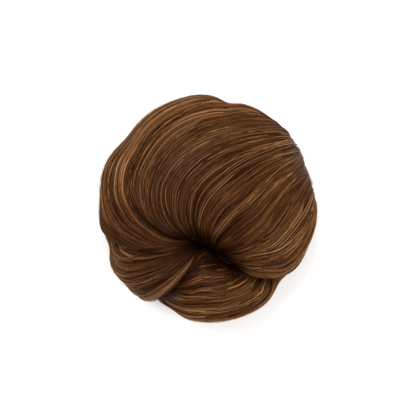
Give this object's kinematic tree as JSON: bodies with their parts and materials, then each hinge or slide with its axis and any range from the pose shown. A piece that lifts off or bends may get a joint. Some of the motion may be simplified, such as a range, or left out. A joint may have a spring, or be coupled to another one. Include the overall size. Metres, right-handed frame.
{
  "type": "top knot hairpiece",
  "caption": "Round clip-in top knot of long hair wound in broad locks round an off-centre slit, on a shallow net cap with a comb.",
  "frame": {"origin": "under the middle of the knot's outline, at the flat hem of the cap that it rests on", "axes": "+Z out of the swirl, away from the wearer's head; +Y towards the top of the swirl; +X to its right"},
  "size_m": [0.109, 0.1138, 0.0637],
  "materials": {
    "crown_hair": "long straight brown hair with a soft satin shine and lighter strands",
    "left_hair": "long brown hair, a little lighter along its raised inner edge",
    "lower_left_hair": "long brown hair with a lighter rolled lower edge",
    "bottom_hair": "long brown hair, darker where it runs under the crown lock",
    "inner_hair": "dark wound hair",
    "cap_net": "fine dark brown net with a sewn hem",
    "comb_plastic": "plain dark brown moulded plastic"
  },
  "bodies": {
    "root": {"crown_lock": "crown_hair", "left_lock": "left_hair", "lower_left_lock": "lower_left_hair", "bottom_lock": "bottom_hair", "inner_coil": "inner_hair", "net_cap": "cap_net", "comb": "comb_plastic"}
  },
  "joints": []
}
